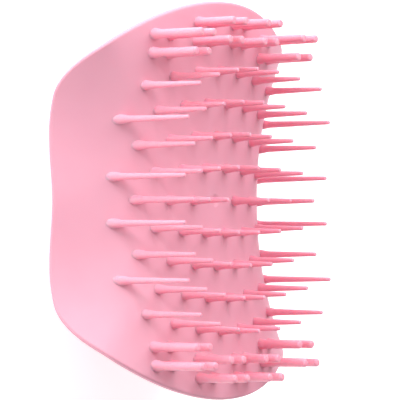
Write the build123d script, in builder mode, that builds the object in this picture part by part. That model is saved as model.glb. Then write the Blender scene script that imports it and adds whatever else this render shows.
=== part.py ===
from build123d import *
from math import atan2, copysign, cos, pi, sin, sqrt
import os

# Palm-held scalp massager brush, in millimetres.
#
# The brush stands on the flat crown of its back with its teeth pointing up.
# +X runs across the width, +Y along the length and +Z with the teeth.
# The origin is the middle of the flat crown.

# ---------------------------------------------------------------- driving sizes
tip_height = 45.0          # crown to the plane of the middle fine-tooth tips

# plan outline of the tooth plate: end arc, corner arc, waist arc
half_length = 45.2
end_radius = 51.5
corner_radius = 14.5
waist_half_width = 33.6
waist_radius = 275.0

# working face of the plate: a gentle arch that breaks into steep flanks
face_depth = 9.9           # middle of the face below the tip plane
end_rise = 3.3             # how far the face climbs from the middle to end_reach
end_reach = 45.0
arch = 0.0067              # sag of the arch across the width, per mm squared
shoulder_middle = 18.5     # where the flanks start, at half length
shoulder_spread = 0.0102   # how fast the shoulders run outwards, per mm squared
flank_slope = 0.79
flank_slope_gain = 0.26    # extra slope away from the waist
gain_length = 25.0
shoulder_softness = 2.8
plate_thickness = 1.8
rim_round = 0.6
blank_height = 60.0        # taller than the whole brush
slope_step = 0.01          # for measuring the face's slopes
sheet_step_x = 2.5         # spacing of the points that the face is fitted through
sheet_step_y = 4.0
sheet_steps_x = 16         # from the middle to each side
sheet_steps_y = 12
sheet_tolerance = 0.02
sheet_degree = 3
gate_mark_radius = 1.1     # moulding gate in the middle of the face
gate_mark_depth = 0.4

# fine exfoliating teeth
fine_pitch = 7.03
row_pitch = 7.4
row_counts = [7, 8, 7, 8, 7, 8, 7, 8, 7]
row_half_steps = 3.5       # pitches from the long axis to the last column
row_bows = [5.3, 4.1, 3.4, 2.15, 0.0, 2.15, 3.4, 4.1, 5.3]
fine_root_radius = 0.78
fine_tip_radius = 0.46
tooth_foot = 3.0           # length under the face before the root is cut
foot_flare = 1.0           # how much wider the root is at that depth
flare_height = 2.2         # the flare ends this far above the face
root_gap = 0.03            # keeps a root clear of the face's own curve
fan_width = 2.58           # rise of the tips at fan_reach_x off the long axis
fan_reach_x = 25.0
fan_length = 3.17          # rise of the tips at fan_reach_y off the cross axis
fan_reach_y = 30.0

# thick massaging teeth, in clusters of four
cluster_pitch = 4.2
cluster_columns = [6.06, 17.8]
cluster_rows = [38.16, 35.12]
cluster_tips = [(3.1, 2.0), (3.8, 2.2)]
thick_root_radius = 1.0
thick_tip_radius = 0.92

# back shell
shell_floor = 2.0
shell_squeeze_x = 0.955    # inner surface relative to the outer one
shell_squeeze_y = 0.95
seam_gap = 0.05            # under the plate, over the shell's rim and the pegs
# height above the crown, half width, half length
dome_sections = [
    (0.0, 12.0, 28.0),
    (1.0, 15.6, 31.0),
    (2.5, 17.8, 33.0),
    (5.0, 20.8, 35.4),
    (9.0, 25.4, 37.0),
    (15.2, 32.6, 39.0),
    (22.0, 42.8, 40.8),
    (30.0, 44.6, 42.5),
    (37.0, 43.0, 43.5),
    (46.0, 42.5, 44.0),
]
dome_power = 2.0
section_points = 24

# pegs under the plate that locate it in the shell's bosses
peg_places = [(-13.0, -22.0), (13.0, -22.0), (-13.0, 22.0), (13.0, 22.0), (0.0, 0.0)]
peg_radius = 1.5
peg_depth = 9.0
boss_radius = 3.2
boss_clearance = 0.1


# ---------------------------------------------------------------- shape formulas
def soft_ramp(distance, softness):
    return (distance + sqrt(distance * distance + softness * softness)) / 2


def face_height(x, y):
    """Height of the plate's working face."""
    shoulder = shoulder_middle + shoulder_spread * y * y
    share = min(abs(y) / gain_length, 1.0)
    slope = flank_slope + flank_slope_gain * share * share * (3 - 2 * share)
    flank = slope * soft_ramp(abs(x) - shoulder, shoulder_softness)
    return tip_height - face_depth + end_rise * (y / end_reach) ** 2 - arch * x * x - flank


def face_normal(x, y):
    slope_x = face_height(x + slope_step, y) - face_height(x - slope_step, y)
    slope_y = face_height(x, y + slope_step) - face_height(x, y - slope_step)
    return Vector(-slope_x, -slope_y, 2 * slope_step).normalized()


def face_point(x, y, below=0.0):
    """A point that lies the given distance below the working face, along its normal."""
    return Vector(x, y, face_height(x, y)) - face_normal(x, y) * below


def face_sheet(below=0.0):
    """The working face as one spline surface, larger than the plate."""
    columns = [sheet_step_x * i for i in range(-sheet_steps_x, sheet_steps_x + 1)]
    rows = [sheet_step_y * j for j in range(-sheet_steps_y, sheet_steps_y + 1)]
    grid = [[face_point(x, y, below) for y in rows] for x in columns]
    return Face.make_surface_from_array_of_points(grid, tol=sheet_tolerance, min_deg=sheet_degree)


def tip_height_at(x, y):
    """Height of the fine-tooth tips, which follow the hollow of a scalp."""
    return tip_height + fan_width * (x / fan_reach_x) ** 2 + fan_length * (y / fan_reach_y) ** 2


# ---------------------------------------------------------------- plan outline
def arc_points(centre, start, end):
    """Start, middle and end of the short arc about a centre."""
    middle = ((start - centre).normalized() + (end - centre).normalized()).normalized()
    return start, centre + middle * (start - centre).length, end


def corner_centre():
    """Centre of the corner arc, tangent to the end arc and to the waist arc."""
    end_centre = Vector(0, half_length - end_radius)
    waist_centre = Vector(waist_half_width + waist_radius, 0)
    base = waist_centre - end_centre
    to_end = end_radius - corner_radius
    to_waist = waist_radius + corner_radius
    cosine = (base.length ** 2 + to_end ** 2 - to_waist ** 2) / (2 * base.length * to_end)
    angle = atan2(base.Y, base.X) + atan2(sqrt(1 - cosine ** 2), cosine)
    return end_centre + Vector(cos(angle), sin(angle)) * to_end


def draw_quarter():
    """One quarter of the plate's plan outline."""
    end_centre = Vector(0, half_length - end_radius)
    waist_centre = Vector(waist_half_width + waist_radius, 0)
    corner = corner_centre()
    end_tangent = corner + (corner - end_centre).normalized() * corner_radius
    waist_tangent = corner + (waist_centre - corner).normalized() * corner_radius
    end_middle = Vector(0, half_length)
    waist_middle = Vector(waist_half_width, 0)
    ThreePointArc(*arc_points(end_centre, end_middle, end_tangent))
    ThreePointArc(*arc_points(corner, end_tangent, waist_tangent))
    ThreePointArc(*arc_points(waist_centre, waist_tangent, waist_middle))


def outline_sketch():
    with BuildSketch() as sketch:
        with BuildLine():
            draw_quarter()
            mirror(about=Plane.XZ)
            mirror(about=Plane.YZ)
        make_face()
    return sketch.sketch


def save(piece, name):
    piece.part.label = name
    export_step(piece.part, f"parts/{name}.step")


# ---------------------------------------------------------------- tooth plate
os.makedirs("parts", exist_ok=True)
working_face = face_sheet()
seam_face = face_sheet(plate_thickness + seam_gap)

with BuildPart() as blank:
    add(outline_sketch())
    extrude(amount=blank_height)
    split(bisect_by=working_face, keep=Keep.BOTTOM)

with BuildPart() as tooth_plate:
    thicken(to_thicken=blank.faces().filter_by(GeomType.BSPLINE)[0], amount=-plate_thickness)
    broad_faces = tooth_plate.faces().sort_by(SortBy.AREA)[-2:]
    fillet([edge for face in broad_faces for edge in face.outer_wire().edges()], radius=rim_round)
    with Locations((0, 0, face_height(0, 0))):
        Cylinder(gate_mark_radius, 2 * gate_mark_depth, mode=Mode.SUBTRACT)
save(tooth_plate, "tooth_plate")


# ---------------------------------------------------------------- teeth
def rooted_tooth(x, y, tip, root_radius, tip_radius):
    """A tooth with a flared root, cut along the working face, and a round tip."""
    root = face_height(x, y)
    foot = root - tooth_foot
    shoulder = (tip_radius, tip - tip_radius)
    root_plane = Plane(face_point(x, y, -root_gap), z_dir=face_normal(x, y))
    with BuildPart() as tooth:
        with BuildSketch(Plane.XZ):
            with BuildLine():
                Polyline((0, tip), (0, foot), (root_radius + foot_flare, foot),
                         (root_radius, root + flare_height), shoulder)
                RadiusArc(shoulder, (0, tip), -tip_radius)
            make_face()
        revolve(axis=Axis.Z)
    with BuildPart() as rooted:
        add(tooth.part.moved(Location((x, y, 0))))
        split(bisect_by=root_plane, keep=Keep.TOP)
    return rooted.part


def make_teeth(places, root_radius, tip_radius):
    """Upright teeth on the working face; places are (x, y, tip)."""
    with BuildPart() as teeth:
        for x, y, tip in places:
            add(rooted_tooth(x, y, tip, root_radius, tip_radius))
    return teeth


def fine_row_places(index):
    """Places in one fine row; outer teeth of a row sit nearer the middle of the brush."""
    count = row_counts[index]
    line = (len(row_counts) // 2 - index) * row_pitch
    places = []
    for column in range(count):
        steps = column - (count - 1) / 2
        if line == 0 and steps == 0:
            continue                    # the gate mark takes this tooth's place
        x = steps * fine_pitch
        y = line - copysign(row_bows[index], line) * (steps / row_half_steps) ** 2
        places.append((x, y, tip_height_at(x, y)))
    return places


def cluster_places(end, side, column):
    """The four places of one massaging cluster."""
    middle_x = side * cluster_columns[column]
    middle_y = end * cluster_rows[column]
    outer_tip, inner_tip = cluster_tips[column]
    half = cluster_pitch / 2
    return [(middle_x + step, middle_y + end * reach, tip_height + tip)
            for step in (-half, half)
            for reach, tip in ((half, outer_tip), (-half, inner_tip))]


for index in range(len(row_counts)):
    row = make_teeth(fine_row_places(index), fine_root_radius, fine_tip_radius)
    save(row, f"fine_teeth_row_{index + 1}")

for end_name, end in (("a", 1), ("b", -1)):
    for number, (side, column) in enumerate(((-1, 1), (-1, 0), (1, 0), (1, 1)), start=1):
        cluster = make_teeth(cluster_places(end, side, column), thick_root_radius, thick_tip_radius)
        save(cluster, f"massage_teeth_{end_name}{number}")


# ---------------------------------------------------------------- locating pegs
with BuildPart() as locating_pegs:
    for x, y in peg_places:
        peg_end = face_height(x, y) - plate_thickness - peg_depth
        with Locations((x, y, peg_end)):
            Cylinder(peg_radius, 2 * peg_depth, align=(Align.CENTER, Align.CENTER, Align.MIN))
    split(bisect_by=seam_face, keep=Keep.BOTTOM)
save(locating_pegs, "locating_pegs")


# ---------------------------------------------------------------- back shell
def dome_outline(half_width, half_reach):
    """Points round a superellipse section of the back."""
    points = []
    for step in range(section_points):
        angle = 2 * pi * step / section_points
        across = copysign(abs(cos(angle)) ** (2 / dome_power), cos(angle))
        along = copysign(abs(sin(angle)) ** (2 / dome_power), sin(angle))
        points.append((half_width * across, half_reach * along))
    return points


with BuildPart() as dome:
    for height, half_width, half_reach in dome_sections:
        with BuildSketch(Plane.XY.offset(height)):
            with BuildLine():
                Spline(*dome_outline(half_width, half_reach), periodic=True)
            make_face()
    loft()

hollow = scale(dome.part, by=(shell_squeeze_x, shell_squeeze_y, 1), mode=Mode.PRIVATE)
hollow = hollow.moved(Location((0, 0, shell_floor)))

with BuildPart() as bosses:
    with Locations([(x, y, 0) for x, y in peg_places]):
        Cylinder(boss_radius, blank_height, align=(Align.CENTER, Align.CENTER, Align.MIN))
    add(dome.part, mode=Mode.INTERSECT)

with BuildPart() as back_shell:
    add(dome.part)
    add(hollow, mode=Mode.SUBTRACT)
    add(bosses.part)
    split(bisect_by=seam_face, keep=Keep.BOTTOM)
    for x, y in peg_places:
        socket_floor = face_height(x, y) - plate_thickness - peg_depth - boss_clearance
        with Locations((x, y, socket_floor)):
            Cylinder(peg_radius + boss_clearance, blank_height,
                     align=(Align.CENTER, Align.CENTER, Align.MIN), mode=Mode.SUBTRACT)
save(back_shell, "back_shell")
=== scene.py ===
import math
import bpy
import numpy as np
from mathutils import Matrix, Vector


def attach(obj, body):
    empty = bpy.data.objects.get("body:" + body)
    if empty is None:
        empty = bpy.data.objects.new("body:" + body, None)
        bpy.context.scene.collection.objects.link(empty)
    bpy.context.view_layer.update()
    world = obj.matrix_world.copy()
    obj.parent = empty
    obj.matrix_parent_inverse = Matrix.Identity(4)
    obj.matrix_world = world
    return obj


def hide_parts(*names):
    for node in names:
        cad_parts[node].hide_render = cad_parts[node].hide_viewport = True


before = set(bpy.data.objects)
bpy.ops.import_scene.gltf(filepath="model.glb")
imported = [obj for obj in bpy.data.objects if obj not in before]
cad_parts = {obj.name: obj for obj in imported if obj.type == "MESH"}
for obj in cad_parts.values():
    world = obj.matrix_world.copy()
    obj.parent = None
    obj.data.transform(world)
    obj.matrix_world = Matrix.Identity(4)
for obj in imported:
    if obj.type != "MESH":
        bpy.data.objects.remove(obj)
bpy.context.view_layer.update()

# Palm-held scalp massager brush. Shape formulas are in millimetres, as in the CAD,
# and every mesh is scaled to metres once, in add_mesh.
MM = 0.001
BODY = "root"

# ---------------------------------------------------------------- driving sizes
tip_height = 45.0

half_length = 45.2          # plan outline of the plate
end_radius = 51.5
corner_radius = 14.5
waist_half_width = 33.6
waist_radius = 275.0

face_depth = 9.9            # working face
end_rise = 3.3
end_reach = 45.0
arch = 0.0067
shoulder_middle = 18.5
shoulder_spread = 0.0102
flank_slope = 0.79
flank_slope_gain = 0.26
gain_length = 25.0
shoulder_softness = 2.8
slope_step = 0.01           # for measuring the face's slopes
plate_thickness = 1.8
rim_round = 0.6

fine_pitch = 7.03           # tooth layout
row_pitch = 7.4
row_counts = [7, 8, 7, 8, 7, 8, 7, 8, 7]
row_half_steps = 3.5
row_bows = [5.3, 4.1, 3.4, 2.15, 0.0, 2.15, 3.4, 4.1, 5.3]
fan_width = 2.58            # rise of the tips at fan_reach_x and fan_reach_y
fan_reach_x = 25.0
fan_length = 3.17
fan_reach_y = 30.0
cluster_pitch = 4.2
cluster_columns = [6.06, 17.8]
cluster_rows = [38.16, 35.12]
cluster_tips = [(3.1, 2.0), (3.8, 2.2)]

shell_floor = 2.0           # back shell
shell_squeeze_x = 0.955
shell_squeeze_y = 0.95
seam_gap = 0.05
dome_power = 2.0
seam_search_top = 44.0      # above any point of the seam
seam_search_steps = 40
shell_cells = 48            # quads across the crown
wall_rows = 48
wall_gather = 1.6           # how much closer the rows lie near the crown
dome_sections = np.array([  # height above the crown, half width, half length
    (0.0, 12.0, 28.0),
    (1.0, 15.6, 31.0),
    (2.5, 17.8, 33.0),
    (5.0, 20.8, 35.4),
    (9.0, 25.4, 37.0),
    (15.2, 32.6, 39.0),
    (22.0, 42.8, 40.8),
    (30.0, 44.6, 42.5),
    (37.0, 43.0, 43.5),
    (46.0, 42.5, 44.0),
])


# ---------------------------------------------------------------- working face
def face_height(x, y):
    """Height of the plate's working face, for numbers or arrays."""
    shoulder = shoulder_middle + shoulder_spread * y * y
    share = np.minimum(np.abs(y) / gain_length, 1.0)
    slope = flank_slope + flank_slope_gain * share * share * (3 - 2 * share)
    past = np.abs(x) - shoulder
    flank = slope * (past + np.sqrt(past * past + shoulder_softness ** 2)) / 2
    return tip_height - face_depth + end_rise * (y / end_reach) ** 2 - arch * x * x - flank


def face_normal(x, y):
    """Unit normal of the working face, for numbers or arrays."""
    slope_x = (face_height(x + slope_step, y) - face_height(x - slope_step, y)) / (2 * slope_step)
    slope_y = (face_height(x, y + slope_step) - face_height(x, y - slope_step)) / (2 * slope_step)
    normal = np.stack([-slope_x, -slope_y, np.ones_like(slope_x)], axis=-1)
    return normal / np.linalg.norm(normal, axis=-1, keepdims=True)


def face_point(x, y, below=0.0):
    """A point that lies the given distance below the working face, along its normal."""
    point = np.stack([x, y, face_height(x, y)], axis=-1)
    return point - face_normal(x, y) * below


# ---------------------------------------------------------------- plan outline
def unit(vector):
    """The vector at length 1."""
    return vector / np.linalg.norm(vector)


def arc(centre, start, end, count=60):
    """Points on the short arc about a centre."""
    first = math.atan2(*(start - centre)[::-1])
    sweep = math.atan2(*(end - centre)[::-1]) - first
    sweep = (sweep + math.pi) % (2 * math.pi) - math.pi
    angles = first + sweep * np.linspace(0, 1, count)
    radius = np.linalg.norm(start - centre)
    return centre + radius * np.stack([np.cos(angles), np.sin(angles)], axis=-1)


def outline_quarter():
    """The outline from the middle of the waist to the middle of the end."""
    end_centre = np.array([0.0, half_length - end_radius])
    waist_centre = np.array([waist_half_width + waist_radius, 0.0])
    base = waist_centre - end_centre
    length = np.linalg.norm(base)
    to_end = end_radius - corner_radius
    to_waist = waist_radius + corner_radius
    cosine = (length ** 2 + to_end ** 2 - to_waist ** 2) / (2 * length * to_end)
    angle = math.atan2(base[1], base[0]) + math.acos(cosine)
    corner = end_centre + to_end * np.array([math.cos(angle), math.sin(angle)])
    end_tangent = corner + unit(corner - end_centre) * corner_radius
    waist_tangent = corner + unit(waist_centre - corner) * corner_radius
    waist = arc(waist_centre, np.array([waist_half_width, 0.0]), waist_tangent)
    bend = arc(corner, waist_tangent, end_tangent)
    end = arc(end_centre, end_tangent, np.array([0.0, half_length]))
    return np.concatenate([waist, bend[1:], end[1:]])


OUTLINE = outline_quarter()
OUTLINE_ANGLE = np.arctan2(OUTLINE[:, 1], OUTLINE[:, 0])
OUTLINE_REACH = np.linalg.norm(OUTLINE, axis=1)


def outline_point(angle):
    """Where a ray from the middle crosses the outline."""
    folded = np.arctan2(np.abs(np.sin(angle)), np.abs(np.cos(angle)))
    reach = np.interp(folded, OUTLINE_ANGLE, OUTLINE_REACH)
    return reach * np.cos(angle), reach * np.sin(angle)


# ---------------------------------------------------------------- mesh helpers
def add_mesh(name, build, material, node):
    """One mesh piece that stands for a CAD node and takes its finish from a material slot."""
    mesh = bpy.data.meshes.new(name)
    mesh.from_pydata((np.asarray(build.points) * MM).tolist(), [], build.faces)
    mesh.validate()
    mesh.shade_smooth()
    mesh.materials.append(material)
    piece = bpy.data.objects.new(name, mesh)
    bpy.context.scene.collection.objects.link(piece)
    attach(piece, BODY)
    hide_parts(node)


def disc_grid(cells, gather=1.0):
    """A square grid of quads pressed into a unit disc, closer spaced in the middle.

    Gives the reach and angle of each vertex, the faces, and the rim's vertices in order.
    """
    line = np.linspace(-1, 1, cells + 1)
    line = np.sign(line) * np.abs(line) ** gather
    u, v = np.meshgrid(line, line, indexing="ij")
    x = (u * np.sqrt(1 - v * v / 2)).ravel()
    y = (v * np.sqrt(1 - u * u / 2)).ravel()
    wide = cells + 1
    faces = [(i * wide + j, (i + 1) * wide + j, (i + 1) * wide + j + 1, i * wide + j + 1)
             for i in range(cells) for j in range(cells)]
    rim = [i * wide for i in range(cells)]
    rim += [cells * wide + j for j in range(cells)]
    rim += [i * wide + cells for i in range(cells, 0, -1)]
    rim += [j for j in range(cells, 0, -1)]
    return np.hypot(x, y), np.arctan2(y, x), faces, rim


def ring_faces(ring_a, ring_b):
    """Quads between two closed rings of vertex numbers."""
    count = len(ring_a)
    return [(ring_a[k], ring_b[k], ring_b[(k + 1) % count], ring_a[(k + 1) % count])
            for k in range(count)]


class Builder:
    """Collects points and faces for one mesh."""

    def __init__(self):
        self.points = []
        self.faces = []

    def add(self, points):
        start = len(self.points)
        self.points.extend(np.asarray(points).tolist())
        return list(range(start, len(self.points)))

    def ring(self, points, previous):
        ring = self.add(points)
        self.faces += ring_faces(previous, ring)
        return ring


# ---------------------------------------------------------------- tooth plate
gate_mark_radius = 1.1
gate_mark_depth = 0.4
gate_mark_softness = 0.35   # width of the dimple's edge
plate_cells = 150           # quads across the plate
plate_gather = 1.3          # how much closer they lie in the middle
rim_turn = 15               # degrees between the rim's rings
rim_probe = 0.002           # radians, for the rim's direction


def gate_mark(x, y):
    """Depth of the round dimple that the moulding gate leaves in the middle."""
    edge = np.clip((gate_mark_radius - np.hypot(x, y)) / gate_mark_softness + 0.5, 0, 1)
    return gate_mark_depth * edge * edge * (3 - 2 * edge)


def periodic(angle, value):
    """Samples of a round quantity, ready for interpolation over a full turn."""
    order = np.argsort(angle % (2 * math.pi))
    angle = (angle % (2 * math.pi))[order]
    value = value[order]
    return (np.concatenate([[angle[-1] - 2 * math.pi], angle, [angle[0] + 2 * math.pi]]),
            np.concatenate([[value[-1]], value, [value[0]]]))


def make_plate(material):
    """The plate: its face, a rim of two quarter rounds, and its underside."""
    reach, angle, faces, rim = disc_grid(plate_cells, plate_gather)
    rim_angle = angle[rim]

    def rim_points(at):
        x, y = outline_point(at)
        return face_point(x, y)

    edge = rim_points(rim_angle)
    along = rim_points(rim_angle + rim_probe) - rim_points(rim_angle - rim_probe)
    along /= np.linalg.norm(along, axis=1, keepdims=True)
    up = face_normal(edge[:, 0], edge[:, 1])
    out = np.cross(along, up)
    inner = edge - out * rim_round

    inner_size = np.hypot(inner[:, 0], inner[:, 1])
    inner_reach = np.interp(angle % (2 * math.pi), *periodic(rim_angle, inner_size))
    x = inner_reach * reach * np.cos(angle)
    y = inner_reach * reach * np.sin(angle)
    top = face_point(x, y)
    top[:, 2] -= gate_mark(x, y)
    bottom = face_point(x, y, plate_thickness)

    build = Builder()
    build.add(top)
    build.faces += faces
    ring = rim
    steps = [math.radians(rim_turn * k) for k in range(1, 90 // rim_turn + 1)]
    for turn in steps:
        centre = edge - out * rim_round - up * rim_round
        ring = build.ring(centre + rim_round * (out * math.sin(turn) + up * math.cos(turn)), ring)
    for turn in steps:
        centre = edge - out * rim_round - up * (plate_thickness - rim_round)
        ring = build.ring(centre + rim_round * (out * math.cos(turn) - up * math.sin(turn)), ring)
    under = build.add(bottom)
    build.faces += [tuple(under[v] for v in reversed(face)) for face in faces]
    build.faces += ring_faces(ring, [under[v] for v in rim])
    add_mesh("plate_skin", build, material, "tooth_plate")


# ---------------------------------------------------------------- teeth
tooth_sides = 28
root_blend = 3.2            # height over which the rings turn level
root_fillet = 0.07
tip_flat = 0.4              # share of the tip that is flat
fine = {"root_radius": 0.78, "tip_radius": 0.46, "knob": 0.33, "knob_length": 3.0, "crown": 0.26}
thick = {"root_radius": 1.0, "tip_radius": 0.92, "knob": 0.3, "knob_length": 2.4, "crown": 0.45}


def soft_step(share):
    """0 to 1 with level ends."""
    share = np.clip(share, 0, 1)
    return share * share * (3 - 2 * share)


def tooth_profile(length, root_radius, tip_radius, knob, knob_length, crown):
    """(radius, height above the face) up one tooth: a knob at the root, a taper, a round tip."""
    profile = [(root_radius + knob + root_fillet, -root_fillet)]
    for angle in np.radians(np.linspace(0, 90, 4)):
        profile.append((root_radius + knob + root_fillet * (1 - math.sin(angle)),
                        root_fillet * (1 - math.cos(angle))))
    for share in np.linspace(0, 1, 11)[1:]:
        high = root_fillet + (knob_length - root_fillet) * share
        profile.append((root_radius + knob * (1 - soft_step(share)), high))
    shaft_top = length - crown
    for share in np.linspace(0, 1, 11)[1:]:
        high = knob_length + (shaft_top - knob_length) * share
        profile.append((root_radius + (tip_radius - root_radius) * share, high))
    for angle in np.radians(np.linspace(0, 90, 8)[1:]):
        profile.append((tip_radius * (tip_flat + (1 - tip_flat) * math.cos(angle)),
                        shaft_top + crown * math.sin(angle)))
    return profile


def add_tooth(build, x, y, tip, sizes):
    """One tooth; its first rings lie along the face and the later ones are level."""
    root = float(face_height(np.array(x), np.array(y)))
    turn = np.linspace(0, 2 * math.pi, tooth_sides, endpoint=False)
    ring = None
    for radius, high in tooth_profile(tip - root, **sizes):
        px = x + radius * np.cos(turn)
        py = y + radius * np.sin(turn)
        level = soft_step(high / root_blend)
        pz = (1 - level) * face_height(px, py) + level * root + high
        new = build.add(np.stack([px, py, pz], axis=-1))
        if ring is None:
            build.faces.append(tuple(reversed(new)))
        else:
            build.faces += [(ring[k], ring[(k + 1) % tooth_sides], new[(k + 1) % tooth_sides], new[k])
                            for k in range(tooth_sides)]
        ring = new
    peak = build.add([(x, y, tip)])[0]
    build.faces += [(ring[k], ring[(k + 1) % tooth_sides], peak) for k in range(tooth_sides)]


def fine_row_places(index):
    """(x, y, tip) of each tooth in a fine row."""
    line = (len(row_counts) // 2 - index) * row_pitch
    places = []
    for column in range(row_counts[index]):
        steps = column - (row_counts[index] - 1) / 2
        if line == 0 and steps == 0:
            continue                    # the gate mark takes this tooth's place
        x = steps * fine_pitch
        y = line - math.copysign(row_bows[index], line) * (steps / row_half_steps) ** 2
        tip = tip_height + fan_width * (x / fan_reach_x) ** 2 + fan_length * (y / fan_reach_y) ** 2
        places.append((x, y, tip))
    return places


def cluster_places(end, side, column):
    """(x, y, tip) of the four teeth of a massaging cluster."""
    middle_x = side * cluster_columns[column]
    middle_y = end * cluster_rows[column]
    outer_tip, inner_tip = cluster_tips[column]
    half = cluster_pitch / 2
    return [(middle_x + step, middle_y + end * reach, tip_height + tip)
            for step in (-half, half)
            for reach, tip in ((half, outer_tip), (-half, inner_tip))]


def make_teeth(node, places, sizes, material):
    """One mesh for all the teeth of a CAD node."""
    build = Builder()
    for x, y, tip in places:
        add_tooth(build, x, y, tip, sizes)
    add_mesh(node + "_moulded", build, material, node)


# ---------------------------------------------------------------- back shell
def dome_size(height):
    """Half width and half length of the back at a height, as a smooth curve."""
    levels, wide, long_ = dome_sections.T
    sizes = []
    for values in (wide, long_):
        slopes = np.gradient(values, levels)
        at = np.clip(np.searchsorted(levels, height, side="right") - 1, 0, len(levels) - 2)
        span = levels[at + 1] - levels[at]
        share = np.clip((height - levels[at]) / span, 0, 1)
        sizes.append((2 * share ** 3 - 3 * share ** 2 + 1) * values[at]
                     + (share ** 3 - 2 * share ** 2 + share) * span * slopes[at]
                     + (3 * share ** 2 - 2 * share ** 3) * values[at + 1]
                     + (share ** 3 - share ** 2) * span * slopes[at + 1])
    return sizes


def dome_point(angle, height, inner=False):
    """A point on the outer or inner surface of the back."""
    level = height - (shell_floor if inner else 0)
    wide, long_ = dome_size(level)
    if inner:
        wide = wide * shell_squeeze_x
        long_ = long_ * shell_squeeze_y
    power = 2 / dome_power
    x = wide * np.sign(np.cos(angle)) * np.abs(np.cos(angle)) ** power
    y = long_ * np.sign(np.sin(angle)) * np.abs(np.sin(angle)) ** power
    return np.stack([x, y, np.broadcast_to(height, x.shape)], axis=-1)


def seam_height(angle, inner=False):
    """Where the back meets the underside of the plate, found by halving."""
    low = np.full_like(angle, shell_floor)
    high = np.full_like(angle, seam_search_top)
    for _ in range(seam_search_steps):
        middle = (low + high) / 2
        point = dome_point(angle, middle, inner)
        x, y = point[:, 0], point[:, 1]
        drop = (plate_thickness + seam_gap) / face_normal(x, y)[:, 2]
        inside = middle < face_height(x, y) - drop
        low = np.where(inside, middle, low)
        high = np.where(inside, high, middle)
    return low


def add_bowl(build, inner):
    """One skin of the shell: flat crown, then walls up to the seam. Gives its top ring."""
    reach, angle, faces, rim = disc_grid(shell_cells)
    base = shell_floor if inner else 0.0
    cap = dome_point(angle, np.full_like(angle, base), inner)
    cap[:, :2] *= reach[:, None]
    start = build.add(cap)
    flip = (lambda face: face) if inner else (lambda face: tuple(reversed(face)))
    build.faces += [flip(tuple(start[v] for v in face)) for face in faces]
    ring = [start[v] for v in rim]
    rim_angle = angle[rim]
    top = seam_height(rim_angle, inner)
    for row in range(1, wall_rows + 1):
        height = base + (top - base) * (row / wall_rows) ** wall_gather
        new = build.add(dome_point(rim_angle, height, inner))
        build.faces += [flip(face) for face in ring_faces(ring, new)]
        ring = new
    return ring


def make_shell(material):
    """The palm shell: an outer and an inner bowl joined at the seam."""
    build = Builder()
    outer = add_bowl(build, inner=False)
    inner = add_bowl(build, inner=True)
    build.faces += ring_faces(inner, outer)
    add_mesh("shell_skin", build, material, "back_shell")


# ---------------------------------------------------------------- materials
tint_scale = 55             # noise scales, per metre
gloss_scale = 420
grain_scale = 5200
grain_height = 0.00003      # metres
gloss_below = 0.05          # how far the roughness strays from its middle
gloss_above = 0.06


def moulded_material(name, pale, deep, roughness, grain, glow):
    """Satin moulded surface: two close tints, a fine moulded grain and soft light inside."""
    material = bpy.data.materials.new(name)
    material.use_nodes = True
    nodes = material.node_tree.nodes
    links = material.node_tree.links
    shader = nodes["Principled BSDF"]
    place = nodes.new("ShaderNodeTexCoord")

    def noise(scale, detail):
        node = nodes.new("ShaderNodeTexNoise")
        node.inputs["Scale"].default_value = scale
        node.inputs["Detail"].default_value = detail
        links.new(place.outputs["Object"], node.inputs["Vector"])
        return node.outputs["Fac"]

    def spread(value, low, high):
        """The middle of a noise, stretched over a range."""
        node = nodes.new("ShaderNodeMapRange")
        node.inputs["From Min"].default_value = 0.3
        node.inputs["From Max"].default_value = 0.7
        node.inputs["To Min"].default_value = low
        node.inputs["To Max"].default_value = high
        links.new(value, node.inputs["Value"])
        return node.outputs["Result"]

    tint = nodes.new("ShaderNodeMix")
    tint.data_type = "RGBA"
    tint.inputs["A"].default_value = (*pale, 1)
    tint.inputs["B"].default_value = (*deep, 1)
    links.new(spread(noise(tint_scale, 3), 0.0, 1.0), tint.inputs["Factor"])
    links.new(tint.outputs["Result"], shader.inputs["Base Color"])

    gloss = spread(noise(gloss_scale, 4), roughness - gloss_below, roughness + gloss_above)
    links.new(gloss, shader.inputs["Roughness"])

    bump = nodes.new("ShaderNodeBump")
    bump.inputs["Strength"].default_value = grain
    bump.inputs["Distance"].default_value = grain_height
    links.new(noise(grain_scale, 2), bump.inputs["Height"])
    links.new(bump.outputs["Normal"], shader.inputs["Normal"])

    shader.inputs["Subsurface Weight"].default_value = glow
    shader.inputs["Subsurface Radius"].default_value = (1.0, 0.22, 0.30)
    shader.inputs["Subsurface Scale"].default_value = 0.0014
    shader.inputs["Specular IOR Level"].default_value = 0.4
    return material


def floor_material():
    """Matt white that glows a little, as a light table does."""
    material = bpy.data.materials.new("studio_floor")
    material.use_nodes = True
    nodes = material.node_tree.nodes
    links = material.node_tree.links
    shader = nodes["Principled BSDF"]
    grain = nodes.new("ShaderNodeTexNoise")
    grain.inputs["Scale"].default_value = 30
    tone = nodes.new("ShaderNodeMapRange")
    tone.inputs["To Min"].default_value = 0.93
    tone.inputs["To Max"].default_value = 0.96
    links.new(grain.outputs["Fac"], tone.inputs["Value"])
    links.new(tone.outputs["Result"], shader.inputs["Base Color"])
    shader.inputs["Roughness"].default_value = 0.9
    shader.inputs["Specular IOR Level"].default_value = 0.1
    shader.inputs["Emission Color"].default_value = (1, 1, 1, 1)
    shader.inputs["Emission Strength"].default_value = 0.55
    return material


# ---------------------------------------------------------------- the brush
plate_pink = moulded_material("plate_elastomer", pale=(0.815, 0.385, 0.49), deep=(0.79, 0.36, 0.465),
                              roughness=0.48, grain=0.5, glow=0.1)
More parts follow.
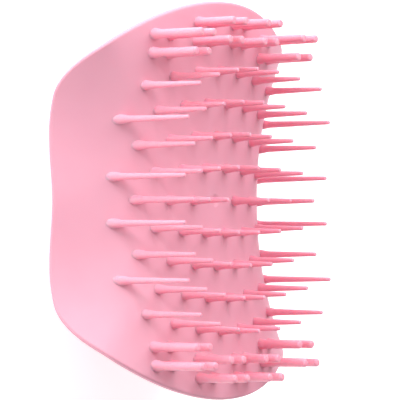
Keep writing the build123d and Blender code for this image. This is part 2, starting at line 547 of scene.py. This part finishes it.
# The teeth are the plate's elastomer, but their pink is set lighter and redder than the plate's as
# painted light, so their lit sides look pale and their shaded sides deep pink.
tooth_pink_painted_lighter = moulded_material("tooth_elastomer_painted_lighter", pale=(0.93, 0.40, 0.51), deep=(0.91, 0.375, 0.485),
                              roughness=0.42, grain=0.3, glow=0.5)
shell_pink = moulded_material("shell_plastic", pale=(0.76, 0.34, 0.44), deep=(0.74, 0.32, 0.42),
                              roughness=0.36, grain=0.6, glow=0.08)

make_plate(plate_pink)
for index in range(len(row_counts)):
    make_teeth(f"fine_teeth_row_{index + 1}", fine_row_places(index), fine, tooth_pink_painted_lighter)
for end_name, end in (("a", 1), ("b", -1)):
    clusters = ((-1, 1), (-1, 0), (1, 0), (1, 1))       # side of the long axis, column
    for number, (half, column) in enumerate(clusters, start=1):
        make_teeth(f"massage_teeth_{end_name}{number}", cluster_places(end, half, column),
                   thick, tooth_pink_painted_lighter)
make_shell(shell_pink)
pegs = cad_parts["locating_pegs"]
pegs.data.materials.clear()
pegs.data.materials.append(plate_pink)


# ---------------------------------------------------------------- studio
floor_size = 6
floor_gap = 0.0002                    # keeps the floor just clear of the crown
bpy.ops.mesh.primitive_plane_add(size=floor_size)
floor = bpy.context.object
floor.name = "studio_floor"
floor.location.z = -floor_gap
floor.data.materials.append(floor_material())

world = bpy.data.worlds.new("studio")
world.use_nodes = True
world.node_tree.nodes["Background"].inputs["Color"].default_value = (1.0, 0.99, 0.99, 1)
world.node_tree.nodes["Background"].inputs["Strength"].default_value = 0.46
bpy.context.scene.world = world
bpy.context.scene.view_settings.view_transform = "Standard"

# ---------------------------------------------------------------- camera
camera_lean = math.radians(40.37)     # between the picture's plane and the teeth
camera_drop = math.radians(-0.97)
camera_roll = math.radians(0.23)
camera_reach = 0.835                  # to the middle of the tip plane
aim_left = 0.0110                     # the picture's middle lies left of that point
lens_mm = 331.8
sensor_mm = 36.0


def camera_axes():
    """Right, up and towards-the-camera directions, with the camera's roll."""
    across = Vector((math.sin(camera_lean), 0, math.cos(camera_lean)))
    facing = Vector((-math.cos(camera_lean), 0, math.sin(camera_lean)))
    length_way = Vector((0, 1, 0))
    towards = facing * math.cos(camera_drop) + length_way * math.sin(camera_drop)
    level_up = length_way * math.cos(camera_drop) - facing * math.sin(camera_drop)
    right = across * math.cos(camera_roll) - level_up * math.sin(camera_roll)
    up = across * math.sin(camera_roll) + level_up * math.cos(camera_roll)
    return right, up, towards


right, up, towards = camera_axes()
tip_middle = Vector((0, 0, tip_height * MM))
eye = tip_middle + towards * camera_reach
look = (eye - (tip_middle - right * aim_left)).normalized()
side = up.cross(look).normalized()

camera_data = bpy.data.cameras.new("camera")
camera_data.lens = lens_mm
camera_data.sensor_width = sensor_mm
camera = bpy.data.objects.new("camera", camera_data)
bpy.context.scene.collection.objects.link(camera)
turn = Matrix((side, look.cross(side), look)).transposed()
camera.matrix_world = Matrix.Translation(eye) @ turn.to_4x4()
bpy.context.scene.camera = camera


# ---------------------------------------------------------------- lights
def soft_light(name, place, size, power):
    """A square soft box aimed at the teeth; place is (right, up, towards the camera) in metres."""
    data = bpy.data.lights.new(name, "AREA")
    data.shape = "SQUARE"
    data.size = size
    data.energy = power
    light = bpy.data.objects.new(name, data)
    bpy.context.scene.collection.objects.link(light)
    reach = side * place[0] + up * place[1] + look * place[2]
    aim = reach.to_track_quat("Z", "Y").to_matrix().to_4x4()
    light.matrix_world = Matrix.Translation(tip_middle + reach) @ aim


soft_light("key", place=(-0.15, 0.55, 0.35), size=0.36, power=3.5)
soft_light("side", place=(0.6, 0.45, 0.3), size=0.6, power=5.0)
